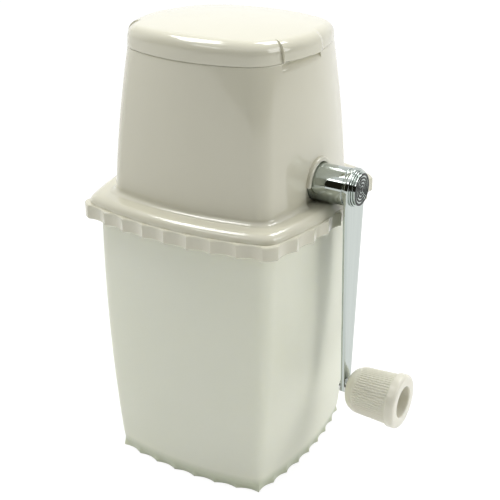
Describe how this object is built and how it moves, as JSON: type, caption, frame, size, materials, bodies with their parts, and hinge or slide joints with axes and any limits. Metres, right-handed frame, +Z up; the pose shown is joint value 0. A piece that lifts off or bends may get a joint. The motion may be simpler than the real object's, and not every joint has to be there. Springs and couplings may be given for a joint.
{
  "type": "hand cranked ice shaver",
  "caption": "Hand cranked ice shaver: a frosted square container with a fluted foot and a fluted white collar, a white hopper housing with a crowned lid, and a side crank with a ribbed knob.",
  "frame": {"origin": "middle of the container's base, on the table", "axes": "+Z up, +X out of the side where the crank stands, -Y towards the front face that the picture shows at the left"},
  "size_m": [0.1733, 0.134, 0.2488],
  "materials": {
    "frosted_plastic": "frosted translucent plastic",
    "white_plastic": "glossy warm white",
    "frame_steel": "brushed",
    "bush_plastic": "dull natural plastic",
    "fastener_steel": "bright plated",
    "cutter_steel": "ground bright",
    "crank_chrome": "mirror chrome",
    "knob_plastic": "satin cream white"
  },
  "bodies": {
    "container": {"container": "frosted_plastic"},
    "upper": {"collar": "white_plastic", "housing": "white_plastic", "hopper_funnel": "white_plastic", "frame_plate_right": "frame_steel", "frame_plate_left": "frame_steel", "tie_rods": "frame_steel", "front_comb": "frame_steel", "rear_comb": "frame_steel", "shaft_bush_right": "bush_plastic", "shaft_bush_left": "bush_plastic", "frame_screws": "fastener_steel", "housing_screws": "fastener_steel"},
    "lid": {"lid": "white_plastic"},
    "crank": {"crank_barrel": "crank_chrome", "crank_arm": "crank_chrome", "crank_cap": "crank_chrome", "crank_screw": "fastener_steel", "cutter_shaft": "cutter_steel", "cutter_blades": "cutter_steel", "blade_spacers": "cutter_steel", "thrust_washer": "fastener_steel", "retaining_ring": "fastener_steel", "knob_spindle": "fastener_steel", "knob_washer": "fastener_steel", "knob_nut": "fastener_steel"},
    "knob": {"knob": "knob_plastic"}
  },
  "joints": [
    {"name": "upper_lift", "type": "slide", "parent": "container", "child": "upper", "axis": [0, 0, 1], "range_m": [0, 0.06]},
    {"name": "lid_lift", "type": "slide", "parent": "upper", "child": "lid", "axis": [0, 0, 1], "range_m": [0, 0.04]},
    {"name": "crank_turn", "type": "hinge", "parent": "upper", "child": "crank", "pos_m": [0.0738, 0, 0.1693], "axis": [1, 0, 0], "continuous": true},
    {"name": "knob_turn", "type": "hinge", "parent": "crank", "child": "knob", "pos_m": [0.0738, 0, 0.0524], "axis": [1, 0, 0], "continuous": true}
  ]
}
